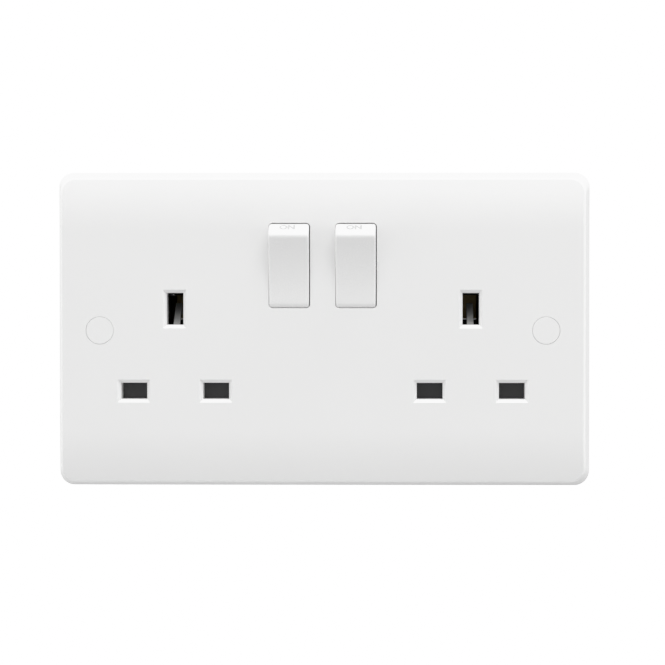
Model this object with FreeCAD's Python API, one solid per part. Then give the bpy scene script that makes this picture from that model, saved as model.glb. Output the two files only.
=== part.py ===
import FreeCAD, Part
import math
import os

# Twin switched socket outlet, in millimetres. X runs to the right as seen from the front,
# Z is up and the front looks along -Y. The plane Y = 0 is the wall, and the origin lies in it,
# midway between the two fixing screws.

# Front plate
plate_width = 146.0
plate_height = 86.0
plate_depth = 9.5
plate_corner_radius = 4.3
plate_edge_round = 1.0
plate_flare = 2.2
crown_height = 15.75
crown_drop = 1.9
front_wall = 2.6
side_wall = 2.4
plate_rib_height = 1.5
plate_rib_width = 1.2

# Pin slots and the holes behind them
socket_inset = 33.0
line_drop = 16.4
pin_spacing = 22.2
earth_rise = 22.2
earth_slot_width = 4.5
earth_slot_height = 8.6
line_slot_width = 7.0
line_slot_height = 4.4
slot_chamfer = 0.9
slot_pad_depth = 1.6
slot_pad_width = 32.0
slot_pad_margin = 2.0

# Fixing screws and their caps
fixing_inset = 12.7
fixing_screw_length = 25.0
fixing_thread_radius = 1.75
fixing_shank_radius = 1.55
fixing_hole_clearance = 0.4
fixing_head_radius = 3.3
fixing_head_height = 2.1
fixing_floor = 2.8
fixing_boss_radius = 5.5
cap_radius = 3.65
cap_thickness = 2.1
seat_clearance = 0.1

# Shutters
slide_clearance = 0.15
shutter_thickness = 2.2
shutter_travel = 5.6
shutter_overlap = 0.7
shutter_side_overlap = 1.1
shutter_bridge_height = 3.4
shutter_arm_width = 7.0
shutter_ramp_width = 1.8
shutter_ramp_reach = 5.75
shutter_ramp_back = 2.8
shutter_guide_width = 1.2
shutter_guide_top = 4.0
shutter_spring_radius = 1.7
shutter_spring_wire = 0.4
shutter_spring_length = 12.4
shutter_spring_turns = 4
shutter_neck_drop = 2.8
spring_steps_per_turn = 5

# Contact cover
cover_thickness = 1.4
cover_window_margin = 0.3
cover_partition_width = 5.8
cover_partition_gap = 0.3
cover_partition_margin = 0.6
stem_window_margin = 0.6

# Rocker switches
rocker_x = 9.0
rocker_inset = 25.5
aperture_width = 11.15
aperture_height = 23.0
aperture_lip = 0.75
aperture_corner_radius = 1.05
rocker_side_gap = 0.3
rocker_end_gap = 0.14
rocker_relief = 0.5
rocker_collar_wall = 1.2
rocker_crest_rise = 2.45
rocker_face_angle = 6.35
rocker_face_blend = 54.0
rocker_wall = 1.3
rocker_edge_chamfer = 0.55
rocker_crest_round = 0.4
rocker_tilt = 8.35
rocker_skirt_gap = 0.2
trunnion_radius = 1.1
trunnion_length = 1.0
trunnion_clearance = 0.1
trunnion_lug = 1.9
stem_half_width = 3.1
stem_end = 4.5
stem_bore_start = -5.2

# Sprung plungers inside the rockers
plunger_radius = 2.0
plunger_clearance = 0.1
plunger_start = 0.5
plunger_reach = 8.2
plunger_cone_length = 1.6
plunger_tip_radius = 0.8
plunger_spring_radius = 1.7
plunger_spring_wire = 0.4
plunger_spring_turns = 3

# Rocking contact levers
lever_gap = 0.1
lever_thickness = 1.0
lever_width = 5.0
lever_half_length = 7.5
lever_tilt = 7.0
lever_cheek = 0.5
lever_cheek_depth = 1.6
lever_cheek_height = 2.4
fulcrum_height = 3.2
fulcrum_half_base = 1.2
knife_gap = 0.1
contact_half_width = 1.5
contact_offset = 6.2
contact_thickness = 0.8
contact_dome_radius = 5.0
contact_gap = 0.05

# Brass parts
bar_thickness = 1.2
bar_clearance = 0.1
clip_width = 5.0
clip_leaf = 0.8
clip_mouth = 2.1
clip_root = 2.5
clip_flare = 2.9
clip_front_y = 0.8
clip_pinch_depth = 2.0
neutral_bar_width = 3.4
neutral_bar_drop = 7.3
live_pad_width = 3.8
live_pad_half_length = 2.4
live_run_width = 3.4
live_run_x = 16.5
live_run_rise = 6.7
live_run_height = 3.0
feed_bar_width = 4.0
feed_bar_half_length = 11.0
feed_neck_height = 1.0
tunnel_width = 8.0
tunnel_wall = 1.2
tunnel_space = 5.1
tunnel_back_wall = 1.4
tunnel_length = 7.5
neutral_tunnel_drop = 5.5
earth_strap_width = 6.8
earth_terminal_x = 24.5
earth_arm_width = 6.0

# Rear housing
chamber_width = 8.0
chamber_height = 8.4
earth_chamber_width = 7.6
earth_side_width = 6.2
housing_floor = 1.7
housing_wall = 1.9
tower_back_wall = 1.1
housing_corner_radius = 2.0
switch_cavity_half_width = 13.0
switch_cavity_margin = 1.2
terminal_block_half_width = 30.0
strap_tower_wall = 1.6

# Terminal screws and housing screws
terminal_screw_radius = 2.0
terminal_screw_grip = 0.8
terminal_screw_length = 4.4
terminal_head_radius = 3.0
terminal_head_height = 1.9
terminal_head_hole_radius = 3.6
housing_screw_radius = 1.4
housing_screw_grip = 4.6
housing_screw_head_radius = 2.75
housing_screw_head_height = 1.8
housing_boss_radius = 3.0
housing_ear_radius = 3.6
housing_ear_thickness = 3.0
housing_boss_gap = 0.25
lower_boss_x = 20.0
upper_boss_x = 33.0

# Places that follow from the sizes above, from the front to the back
front_y = -plate_depth
plate_inner_y = front_y + front_wall
pad_back_y = plate_inner_y + slot_pad_depth
shutter_front_y = pad_back_y + slide_clearance
shutter_back_y = shutter_front_y + shutter_thickness
cover_front_y = shutter_back_y + slide_clearance
housing_front_y = cover_front_y + cover_thickness
pivot_y = cover_front_y - trunnion_clearance - trunnion_radius
lever_pivot_y = pivot_y + plunger_reach + lever_gap + lever_thickness + knife_gap
bar_front_y = lever_pivot_y + fulcrum_height
bar_back_y = bar_front_y + bar_thickness
chamber_back_y = bar_back_y + bar_clearance
base_back_y = chamber_back_y + housing_floor
tunnel_roof_y = bar_back_y + tunnel_space
tunnel_back_y = tunnel_roof_y + tunnel_back_wall
tower_back_y = tunnel_back_y + bar_clearance + tower_back_wall
cap_back_y = front_y + cap_thickness
head_front_y = cap_back_y + seat_clearance
head_seat_y = head_front_y + fixing_head_height
fixing_boss_back_y = head_seat_y + fixing_floor

# Places across the face
socket_pitch = plate_width - 2 * socket_inset
fixing_x = plate_width / 2 - fixing_inset
line_z = -line_drop
earth_z = line_z + earth_rise
rocker_z = plate_height / 2 - rocker_inset
live_run_z = line_z + live_run_rise
shutter_ramp_start = earth_z - earth_slot_height / 2
crown_start = plate_height / 2 - crown_height
crown_radius = (crown_height ** 2 + crown_drop ** 2) / (2 * crown_drop)
line_bottom_z = line_z - line_slot_height / 2
blade_bottom_z = line_bottom_z - shutter_overlap
guide_half_gap = pin_spacing / 2 + line_slot_width / 2 + shutter_side_overlap + slide_clearance
spring_ledge_z = blade_bottom_z - shutter_spring_length
spring_y = (plate_inner_y + cover_front_y) / 2
lip_back_y = front_y + aperture_lip
rocker_radius = math.hypot(aperture_height / 2, pivot_y - lip_back_y) - rocker_end_gap
relief_radius = rocker_radius + rocker_relief
collar_half_height = relief_radius + rocker_collar_wall
collar_side = aperture_width / 2 + trunnion_length + rocker_collar_wall
terminal_bottom_z = rocker_z + feed_bar_width / 2 + feed_neck_height
terminal_top_z = terminal_bottom_z + tunnel_length
neutral_bar_z = line_z - neutral_bar_drop
neutral_tunnel_z = line_z - neutral_tunnel_drop
neutral_tunnel_top_z = neutral_tunnel_z + tunnel_length / 2
neutral_tunnel_bottom_z = neutral_tunnel_z - tunnel_length / 2
housing_bottom_z = neutral_bar_z - neutral_bar_width / 2 - bar_clearance - housing_wall
housing_top_z = terminal_top_z + bar_clearance + housing_wall
housing_shoulder_z = live_run_z + live_run_height / 2 + bar_clearance + housing_wall
line_block_half_width = (socket_pitch + pin_spacing + chamber_width) / 2 + housing_wall
upper_block_half_width = (socket_pitch + earth_chamber_width) / 2 + earth_side_width
housing_boss_offset = max(housing_boss_radius, housing_screw_head_radius) + housing_boss_gap
lower_boss_z = housing_bottom_z - housing_boss_offset
upper_boss_z = housing_top_z + housing_boss_offset
socket_centres = (-socket_pitch / 2, socket_pitch / 2)
sides = (-1, 1)
side_names = {-1: "left", 1: "right"}


def point(x, y, z):
    return FreeCAD.Vector(x, y, z)


def around(centre, half):
    return (centre - half, centre + half)


def block(x, y, z):
    """A plain block from its three low and high limits."""
    return Part.makeBox(x[1] - x[0], y[1] - y[0], z[1] - z[0], point(x[0], y[0], z[0]))


def grown(limits, by):
    return (limits[0] - by, limits[1] + by)


def rod_y(radius, x, z, y):
    """A round bar along Y, between two depths."""
    return Part.makeCylinder(radius, y[1] - y[0], point(x, y[0], z), point(0, 1, 0))


def rod_x(radius, y, z, x):
    """A round bar along X, between two places."""
    return Part.makeCylinder(radius, x[1] - x[0], point(x[0], y, z), point(1, 0, 0))


def rounded_block(x, y, z, radius):
    """A block whose four edges along Y are rounded."""
    body = block(x, y, z)
    edges = [e for e in body.Edges if abs(e.Vertexes[0].Y - e.Vertexes[1].Y) > 1e-6]
    return body.makeFillet(radius, edges)


def rectangle(x, z, y):
    corners = [point(x[0], y, z[0]), point(x[1], y, z[0]), point(x[1], y, z[1]), point(x[0], y, z[1])]
    return Part.makePolygon(corners + corners[:1])


def prism_x(outline, x):
    """A solid whose section is an outline of (y, z) corners, between two places along X."""
    corners = [point(x[0], y, z) for y, z in outline]
    return Part.Face(Part.makePolygon(corners + corners[:1])).extrude(point(x[1] - x[0], 0, 0))


def joined(shapes):
    return shapes[0].fuse(shapes[1:]).removeSplitter()


def save(name, shape):
    shape.exportStep("parts/" + name + ".step")


def crowned_block(half_width, half_height, front):
    """The plate's form: flat in the middle, bending back along the top and the bottom."""
    x = -half_width
    middle = (crown_start + half_height) / 2

    def depth(z):
        return front + crown_radius - math.sqrt(crown_radius ** 2 - (z - crown_start) ** 2)

    def bend(sign):
        start = point(x, front, sign * crown_start)
        halfway = point(x, depth(middle), sign * middle)
        end = point(x, depth(half_height), sign * half_height)
        return Part.Arc(start, halfway, end).toShape()

    upper = bend(1)
    lower = bend(-1)
    front_edge = Part.makeLine(point(x, front, -crown_start), point(x, front, crown_start))
    back = Part.makePolygon([
        point(x, depth(half_height), half_height),
        point(x, 0, half_height),
        point(x, 0, -half_height),
        point(x, depth(half_height), -half_height),
    ])
    outline = Part.Wire(Part.__sortEdges__([front_edge, upper, lower] + back.Edges))
    return Part.Face(outline).extrude(point(2 * half_width, 0, 0))


def flared_block(half_width, half_height, radius):
    """A block with rounded corners, whose sides spread from the front of the plate to the wall."""
    front_width = half_width - plate_flare
    front_height = half_height - plate_flare
    body = Part.makeWedge(
        -front_width, front_y, -front_height, -half_height, -half_width,
        front_width, 0, front_height, half_height, half_width
    )
    edges = [e for e in body.Edges if abs(e.Vertexes[0].Y - e.Vertexes[1].Y) > 1e-6]
    return body.makeFillet(radius, edges)


def plate_shell():
    """The moulded cover, rounded along its front edge and hollow behind."""
    half_width = plate_width / 2
    half_height = plate_height / 2
    corners = flared_block(half_width, half_height, plate_corner_radius)
    outer = crowned_block(half_width, half_height, front_y).common(corners)

    def on_rim(edge):
        middle = edge.valueAt((edge.FirstParameter + edge.LastParameter) / 2)
        at_front = all(v.Y < front_y / 2 for v in edge.Vertexes)
        inside_x = abs(middle.x) < half_width - plate_flare - plate_corner_radius
        inside_z = abs(middle.z) < half_height - plate_flare - plate_corner_radius
        return at_front and not (inside_x and inside_z)

    outer = outer.makeFillet(plate_edge_round, [e for e in outer.Edges if on_rim(e)])
    inner_width = half_width - side_wall
    inner_height = half_height - side_wall
    inner_corners = flared_block(inner_width, inner_height, plate_corner_radius - side_wall)
    hollow = crowned_block(inner_width, inner_height, plate_inner_y)
    return outer.cut(hollow.common(inner_corners))


def slot_cut(x, z, width, height):
    """One pin slot with the sloped lead-in round its mouth."""
    through = block(
        around(x, width / 2), (front_y, pad_back_y), around(z, height / 2)
    )
    wide_x = around(x, width / 2 + slot_chamfer)
    wide_z = around(z, height / 2 + slot_chamfer)
    mouth = Part.makeLoft([
        rectangle(wide_x, wide_z, front_y),
        rectangle(around(x, width / 2), around(z, height / 2), front_y + slot_chamfer),
    ], True, True)
    return joined([through, mouth])


def slot_places(centre):
    """The three slots of one socket as x, z, width and height."""
    return (
        (centre, earth_z, earth_slot_width, earth_slot_height),
        (centre - pin_spacing / 2, line_z, line_slot_width, line_slot_height),
        (centre + pin_spacing / 2, line_z, line_slot_width, line_slot_height),
    )


def plate_socket_features(centre):
    """The thick pad that the slots pass through, and the rails that guide the shutter."""
    pad = block(
        around(centre, slot_pad_width / 2), (plate_inner_y, pad_back_y),
        (blade_bottom_z - shutter_travel, earth_z + earth_slot_height / 2 + slot_pad_margin)
    )
    rails = []
    for side in sides:
        edge = centre + side * guide_half_gap
        rail_x = sorted((edge, edge + side * shutter_guide_width))
        rails.append(block(
            rail_x, (plate_inner_y, cover_front_y),
            (blade_bottom_z - shutter_travel, line_z + shutter_guide_top)
        ))
    ledge = block(
        around(centre, shutter_spring_radius + plate_rib_width), (plate_inner_y, cover_front_y),
        (spring_ledge_z - plate_rib_width, spring_ledge_z)
    )
    return [pad, ledge] + rails


def plate_socket_cuts(centre):
    cuts = [slot_cut(*place) for place in slot_places(centre)]
    cuts.append(block(
        around(centre, shutter_spring_radius + 2 * slide_clearance), (plate_inner_y, cover_front_y),
        (spring_ledge_z, blade_bottom_z)
    ))
    return cuts


def rocker_collar():
    """The wall on the back of the plate that the two rockers hang in."""
    return block(
        around(0, rocker_x + collar_side), (plate_inner_y, cover_front_y),
        around(rocker_z, collar_half_height)
    )


def rocker_cuts(side):
    """The opening for one rocker, the relief behind its lip and the slots for its pins."""
    x = side * rocker_x
    width = around(x, aperture_width / 2)
    opening = rounded_block(
        width, (front_y, pivot_y), around(rocker_z, aperture_height / 2), aperture_corner_radius
    )
    swept = rod_x(relief_radius, pivot_y, rocker_z, width)
    swept = swept.common(block(width, (lip_back_y, cover_front_y), around(rocker_z, relief_radius)))
    pin_x = around(x, aperture_width / 2 + trunnion_length)
    pin_slot_radius = trunnion_radius + trunnion_clearance
    pin_hole = rod_x(pin_slot_radius, pivot_y, rocker_z, pin_x)
    pin_slot = block(pin_x, (pivot_y, cover_front_y), around(rocker_z, pin_slot_radius))
    return [opening, swept, pin_hole, pin_slot]


def fixing_cuts(side):
    """The stepped hole for a fixing screw and its cap."""
    x = side * fixing_x
    hole_radius = fixing_shank_radius + fixing_hole_clearance
    return [
        rod_y(cap_radius + seat_clearance, x, 0, (front_y, head_seat_y)),
        rod_y(hole_radius, x, 0, (head_seat_y, fixing_boss_back_y)),
    ]


def housing_boss_places():
    places = [(side * lower_boss_x, lower_boss_z) for side in sides]
    places += [(side * upper_boss_x, upper_boss_z) for side in sides]
    return places


def plate_ribs():
    """Low stiffening ribs between the bosses and the side walls."""
    depth = (plate_inner_y, plate_inner_y + plate_rib_height)
    reach_x = plate_width / 2 - side_wall
    reach_z = plate_height / 2 - side_wall
    ribs = [
        block(around(0, reach_x), depth, around(lower_boss_z, plate_rib_width / 2)),
        block(around(0, reach_x), depth, around(upper_boss_z, plate_rib_width / 2)),
    ]
    for side in sides:
        low_x = around(side * lower_boss_x, plate_rib_width / 2)
        high_x = around(side * upper_boss_x, plate_rib_width / 2)
        ribs.append(block(low_x, depth, (-reach_z, lower_boss_z)))
        ribs.append(block(high_x, depth, (upper_boss_z, reach_z)))
        web_x = sorted((side * fixing_x, side * reach_x))
        ribs.append(block(web_x, (plate_inner_y, fixing_boss_back_y), around(0, plate_rib_width / 2)))
    return ribs


def front_plate():
    additions = plate_ribs()
    cuts = []
    additions.append(rocker_collar())
    for centre in socket_centres:
        additions += plate_socket_features(centre)
        cuts += plate_socket_cuts(centre)
    for side in sides:
        additions.append(rod_y(fixing_boss_radius, side * fixing_x, 0, (plate_inner_y, fixing_boss_back_y)))
        cuts += rocker_cuts(side)
        cuts += fixing_cuts(side)
    bore = housing_screw_radius + seat_clearance
    for x, z in housing_boss_places():
        additions.append(rod_y(housing_boss_radius, x, z, (plate_inner_y, housing_front_y)))
        bore_start = housing_front_y - housing_screw_grip - seat_clearance
        cuts.append(rod_y(bore, x, z, (bore_start, housing_front_y)))
    return joined([plate_shell()] + additions).cut(cuts).removeSplitter()


def screw_cap(side):
    """A push-in cap that hides one fixing screw."""
    return rod_y(cap_radius, side * fixing_x, 0, (front_y, cap_back_y))


def fixing_screws():
    """The two long screws into the wall box."""
    screws = []
    for side in sides:
        x = side * fixing_x
        thread_y = fixing_boss_back_y + seat_clearance
        screws.append(joined([
            rod_y(fixing_head_radius, x, 0, (head_front_y, head_seat_y)),
            rod_y(fixing_shank_radius, x, 0, (head_seat_y, thread_y)),
            rod_y(fixing_thread_radius, x, 0, (thread_y, head_seat_y + fixing_screw_length)),
        ]))
    return Part.makeCompound(screws)


def rocker_outline(inset):
    """The rocker's side outline about its pin, level, drawn in by a wall thickness."""
    radius = rocker_radius - inset
    crest_y = front_y - rocker_crest_rise - pivot_y + inset
    crest_z = math.sqrt(radius ** 2 - crest_y ** 2)
    swing = math.radians(rocker_tilt)
    room = cover_front_y - rocker_skirt_gap - pivot_y
    skirt_y = (room - rocker_radius * math.sin(swing)) / math.cos(swing)
    skirt_z = math.sqrt(radius ** 2 - skirt_y ** 2)
    slope = math.radians(rocker_face_angle)
    blend_reach = rocker_face_blend * math.tan(slope)
    valley_y = crest_y + crest_z * math.tan(slope)
    blend_y = valley_y - blend_reach * math.sin(slope)
    blend_z = blend_reach * math.cos(slope)
    dip_y = blend_y + rocker_face_blend * (1 - math.cos(slope))
    mid_angle = (math.atan2(crest_z, -crest_y) + math.atan2(skirt_z, -skirt_y)) / 2
    mid_y = -radius * math.cos(mid_angle)
    mid_z = radius * math.sin(mid_angle)
    edges = [
        Part.makeLine(point(0, crest_y, crest_z), point(0, blend_y, blend_z)),
        Part.Arc(point(0, blend_y, blend_z), point(0, dip_y, 0), point(0, blend_y, -blend_z)).toShape(),
        Part.makeLine(point(0, blend_y, -blend_z), point(0, crest_y, -crest_z)),
        Part.Arc(point(0, crest_y, -crest_z), point(0, mid_y, -mid_z), point(0, skirt_y, -skirt_z)).toShape(),
        Part.makeLine(point(0, skirt_y, -skirt_z), point(0, skirt_y, skirt_z)),
        Part.Arc(point(0, skirt_y, skirt_z), point(0, mid_y, mid_z), point(0, crest_y, crest_z)).toShape(),
    ]
    return Part.Face(Part.Wire(edges)), crest_y, skirt_y, dip_y


def rocker_body():
    """One rocker about its own pin, level: a hollow shell with a square stem for the plunger."""
    half_width = aperture_width / 2 - rocker_side_gap
    face, crest_y, skirt_y, dip_y = rocker_outline(0)
    outer = face.extrude(point(2 * half_width, 0, 0))
    outer.translate(point(-half_width, 0, 0))

    def side_edge(edge):
        on_side = all(abs(abs(v.X) - half_width) < 1e-6 for v in edge.Vertexes)
        along_x = abs(edge.Vertexes[0].X - edge.Vertexes[-1].X) > 1e-6
        at_skirt = all(abs(v.Y - skirt_y) < 1e-6 for v in edge.Vertexes)
        return on_side and not along_x and not at_skirt

    def crest_edge(edge):
        at_crest = all(abs(v.Y - crest_y) < rocker_edge_chamfer / 2 for v in edge.Vertexes)
        return at_crest and edge.Length > half_width

    outer = outer.makeChamfer(rocker_edge_chamfer, [e for e in outer.Edges if side_edge(e)])
    outer = outer.makeFillet(rocker_crest_round, [e for e in outer.Edges if crest_edge(e)])
    inner_half_width = half_width - rocker_wall
    hollow = rocker_outline(rocker_wall)[0].extrude(point(2 * inner_half_width, 0, 0))
    hollow.translate(point(-inner_half_width, 0, 0))
    across = around(0, stem_half_width)
    stem = block(across, (dip_y + rocker_wall / 2, stem_end), across)
    pins = []
    for side in sides:
        lug_x = sorted((side * inner_half_width, side * half_width))
        pins.append(block(lug_x, around(0, trunnion_lug), around(0, trunnion_lug)))
        pin_x = sorted((side * half_width, side * (half_width + trunnion_length)))
        pins.append(rod_x(trunnion_radius, 0, 0, pin_x))
    bore = rod_y(plunger_radius + plunger_clearance, 0, 0, (stem_bore_start, stem_end))
    return joined([outer.cut(hollow), stem] + pins).cut(bore)


def in_rocker(shape, side):
    """Places a piece drawn about the rocker's pin, tilted as the rocker rests when switched on."""
    placed = shape.copy()
    placed.rotate(point(0, 0, 0), point(1, 0, 0), rocker_tilt)
    placed.translate(point(side * rocker_x, pivot_y, rocker_z))
    return placed


def plunger():
    """The coned pin that the rocker carries against the contact lever."""
    cone_y = plunger_reach - plunger_cone_length
    body = rod_y(plunger_radius, 0, 0, (plunger_start, cone_y))
    tip = Part.makeCone(
        plunger_radius, plunger_tip_radius, plunger_cone_length, point(0, cone_y, 0), point(0, 1, 0)
    )
    return joined([body, tip])


def coil(radius, wire, length, turns):
    """A coil spring along +Z from its foot at the origin, of square wire in straight short runs."""
    steps = spring_steps_per_turn
    pitch = (length - wire) / turns
    path = []
    for i in range(turns * steps + 1):
        angle = 2 * math.pi * i / steps
        lift = wire / 2 + pitch * i / steps
        path.append(point((radius - wire / 2) * math.cos(angle), (radius - wire / 2) * math.sin(angle), lift))
    start = path[0]
    along = (path[1] - path[0]).normalize()
    up = point(0, 0, 1)
    out = along.cross(up).normalize()
    over = out.cross(along).normalize()
    corners = []
    for a, b in ((-1, -1), (1, -1), (1, 1), (-1, 1)):
        corners.append(start + out * (a * wire / 2) + over * (b * wire / 2))
    section = Part.makePolygon(corners + corners[:1])
    return Part.makePolygon(path).makePipeShell([section], True, False, 1)


def plunger_spring():
    """The spring behind a plunger, in the rocker's own place about its pin."""
    length = plunger_start - stem_bore_start - 2 * seat_clearance
    spring = coil(plunger_spring_radius, plunger_spring_wire, length, plunger_spring_turns)
    spring.rotate(point(0, 0, 0), point(1, 0, 0), -90)
    spring.translate(point(0, stem_bore_start + seat_clearance, 0))
    return spring


def contact_lever():
    """The rocking contact bar about its knife edge, level, with cheeks that keep it in place."""
    half_width = lever_width / 2
    plate_y = (-knife_gap - lever_thickness, -knife_gap)
    pieces = [block(around(0, half_width), plate_y, around(0, lever_half_length))]
    for side in sides:
        cheek_x = sorted((side * (half_width - lever_cheek), side * half_width))
        cheek_y = (-knife_gap - lever_thickness, lever_cheek_depth)
        pieces.append(block(cheek_x, cheek_y, around(0, lever_cheek_height / 2)))
    return joined(pieces)


def moving_contact():
    """The silver contact on a lever, rounded across its tip and drawn about the knife edge."""
    tip_y = contact_thickness - knife_gap
    across = around(0, contact_half_width)
    button = block(across, (-knife_gap, tip_y), around(contact_offset, contact_half_width))
    return button.common(rod_x(contact_dome_radius, tip_y - contact_dome_radius, contact_offset, across))


def on_lever(shape, side):
    """Places a piece drawn about the knife edge, tilted as the lever rests when switched on."""
    placed = shape.copy()
    placed.rotate(point(0, 0, 0), point(1, 0, 0), -lever_tilt)
    placed.translate(point(side * rocker_x, lever_pivot_y, rocker_z))
    return placed


def closed_contact_place():
    """Depth and height at which the moving contact's dome meets the fixed contact."""
    swing = math.radians(lever_tilt)
    ball_y = contact_thickness - knife_gap - contact_dome_radius
    y = ball_y * math.cos(swing) + contact_offset * math.sin(swing)
    z = contact_offset * math.cos(swing) - ball_y * math.sin(swing)
    return lever_pivot_y + y + contact_dome_radius + contact_gap, rocker_z + z


def fixed_contact(side):
    y, z = closed_contact_place()
    x = side * rocker_x
    return block(around(x, contact_half_width), (y, bar_front_y), around(z, contact_half_width))


def shutter(centre):
    """The sliding shutter that shuts the two lower slots and is pushed down by the earth pin."""
    depth = (shutter_front_y, shutter_back_y)
    blade_half_width = line_slot_width / 2 + shutter_side_overlap
    blade_z = (blade_bottom_z, line_z + line_slot_height / 2 + shutter_overlap)
    inner = pin_spacing / 2 + blade_half_width
    pieces = [block(around(centre, inner), depth, (blade_bottom_z, blade_bottom_z + shutter_bridge_height))]
    for side in sides:
        pieces.append(block(around(centre + side * pin_spacing / 2, blade_half_width), depth, blade_z))
    ramp_foot_z = shutter_ramp_start + shutter_back_y - shutter_front_y - shutter_ramp_back / 2
    neck_z = earth_z - earth_slot_height / 2 - shutter_neck_drop
    pieces.append(block(around(centre, shutter_arm_width / 2), depth, (blade_bottom_z, neck_z)))
    ramp = prism_x([
        (shutter_front_y, neck_z),
        (shutter_front_y, shutter_ramp_start),
        (shutter_front_y + shutter_ramp_reach, shutter_ramp_start + shutter_ramp_reach),
        (shutter_front_y + shutter_ramp_reach, shutter_ramp_start + shutter_ramp_reach - shutter_ramp_back),
        (shutter_back_y, ramp_foot_z),
        (shutter_back_y, neck_z),
    ], around(centre, shutter_ramp_width / 2))
    return joined(pieces + [ramp])


def shutter_spring(centre):
    length = shutter_spring_length - 2 * seat_clearance
    spring = coil(shutter_spring_radius, shutter_spring_wire, length, shutter_spring_turns)
    spring.translate(point(centre, spring_y, spring_ledge_z + seat_clearance))
    return spring


def housing_outline(y):
    """The outline shared by the contact cover and the front of the rear housing."""
    lower = rounded_block(
        around(0, line_block_half_width), y, (housing_bottom_z, housing_shoulder_z), housing_corner_radius
    )
    upper = rounded_block(
        around(0, upper_block_half_width), y, (housing_bottom_z, housing_top_z), housing_corner_radius
    )
    room = fixing_boss_radius + housing_boss_gap
    bosses = [rod_y(room, side * fixing_x, 0, y) for side in sides]
    return joined([lower, upper]).cut(bosses)


def earth_window_z():
    """Lower and upper ends of the earth pin's window, with room for the ramp's travel."""
    low = shutter_ramp_start - shutter_travel
    high = earth_z + earth_slot_height / 2 + slot_chamfer
    return (low, high)


def contact_cover():
    """The moulded cover over the contacts, which also keeps the shutters and rockers in place."""
    cover_y = (cover_front_y, housing_front_y)
    cover = housing_outline(cover_y)
    partition = block(
        around(0, cover_partition_width / 2), (housing_front_y, bar_front_y - cover_partition_gap),
        grown(switch_cavity_z(), -cover_partition_margin)
    )
    cuts = []
    for centre in socket_centres:
        cuts.append(block(
            around(centre, earth_slot_width / 2 + cover_window_margin), cover_y, earth_window_z()
        ))
        for side in sides:
            cuts.append(block(
                around(centre + side * pin_spacing / 2, line_slot_width / 2 + cover_window_margin), cover_y,
                around(line_z, line_slot_height / 2 + cover_window_margin)
            ))
    for side in sides:
        cuts.append(block(
            around(side * rocker_x, aperture_width / 2), cover_y,
            around(rocker_z, stem_half_width + cover_clearance_for_stem())
        ))
    return joined([cover, partition]).cut(cuts)


def cover_clearance_for_stem():
    """Room for the stem's swing where it passes the back of the cover."""
    return (housing_front_y - pivot_y) * math.tan(math.radians(rocker_tilt)) + stem_window_margin


def switch_cavity_z():
    low = rocker_z - lever_half_length - switch_cavity_margin
    return (low, terminal_top_z + bar_clearance)


def clip_leaf_outline(sign, back_y):
    """One springy leaf of a pin clip: it leans in to the pinch and flares at its mouth."""
    pinch_y = clip_front_y + clip_pinch_depth
    inner = [(back_y, clip_root), (pinch_y, clip_mouth), (clip_front_y, clip_flare - clip_leaf / 2)]
    outer = [(y, reach + clip_leaf) for y, reach in reversed(inner)]
    return [(y, sign * reach) for y, reach in inner + outer]


def line_clip(x, z, back_y):
    """The pair of leaves for a flat-lying pin, above and below it."""
    leaves = []
    for sign in sides:
        outline = [(y, z + reach) for y, reach in clip_leaf_outline(sign, back_y)]
        leaves.append(prism_x(outline, around(x, clip_width / 2)))
    return leaves


def earth_clip(x, z, back_y):
    """The pair of leaves for the upright earth pin, on its two sides."""
    leaves = []
    for sign in sides:
        corners = [point(x + reach, y, z[0]) for y, reach in clip_leaf_outline(sign, back_y)]
        face = Part.Face(Part.makePolygon(corners + corners[:1]))
        leaves.append(face.extrude(point(0, 0, z[1] - z[0])))
    return leaves


def tunnel(x, z):
    """A tunnel terminal: wires enter along Z, and its screw comes through the back wall."""
    outer = block(around(x, tunnel_width / 2), (bar_front_y, tunnel_back_y), z)
    space = block(around(x, tunnel_width / 2 - tunnel_wall), (bar_back_y, tunnel_roof_y), z)
    hole = rod_y(terminal_screw_radius + bar_clearance, x, sum(z) / 2, (tunnel_roof_y, tunnel_back_y))
    return outer.cut([space, hole])


def bar(x, z):
    return block(x, (bar_front_y, bar_back_y), z)


clip_half_reach = clip_root + clip_leaf
terminal_z = (terminal_bottom_z, terminal_top_z)
neutral_tunnel_limits = (neutral_tunnel_bottom_z, neutral_tunnel_top_z)
earth_strap_limits = around(earth_z, earth_strap_width / 2)
neutral_clip_x = [centre - pin_spacing / 2 for centre in socket_centres]
live_clip_x = {-1: socket_centres[0] + pin_spacing / 2, 1: socket_centres[1] + pin_spacing / 2}


def neutral_bar_blanks():
    """The flat runs of the neutral bar, as x and z limits."""
    blanks = [(
        (neutral_clip_x[0] - clip_width / 2, neutral_clip_x[1] + clip_width / 2),
        around(neutral_bar_z, neutral_bar_width / 2)
    )]
    for x in neutral_clip_x:
        blanks.append((around(x, clip_width / 2), (neutral_bar_z, line_z + clip_half_reach)))
    return blanks


def neutral_bar():
    pieces = [bar(x, z) for x, z in neutral_bar_blanks()]
    for x in neutral_clip_x:
        pieces += line_clip(x, line_z, bar_front_y)
    pieces.append(tunnel(0, neutral_tunnel_limits))
    return joined(pieces)


def live_link_blanks(side):
    """The flat runs of one live link, from the switch contact down to its pin clip."""
    contact_z = closed_contact_place()[1]
    run = around(side * live_run_x, live_run_width / 2)
    clip = around(live_clip_x[side], clip_width / 2)
    pad_x = (side * (rocker_x - live_pad_half_length), side * live_run_x)
    pad_z = around(contact_z, live_pad_width / 2)
    cross_z = around(live_run_z, live_run_height / 2)
    return [
        (sorted(pad_x), pad_z),
        (run, (cross_z[0], pad_z[1])),
        ((min(run[0], clip[0]), max(run[1], clip[1])), cross_z),
        (clip, (line_z - clip_half_reach, cross_z[1])),
    ]


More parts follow.
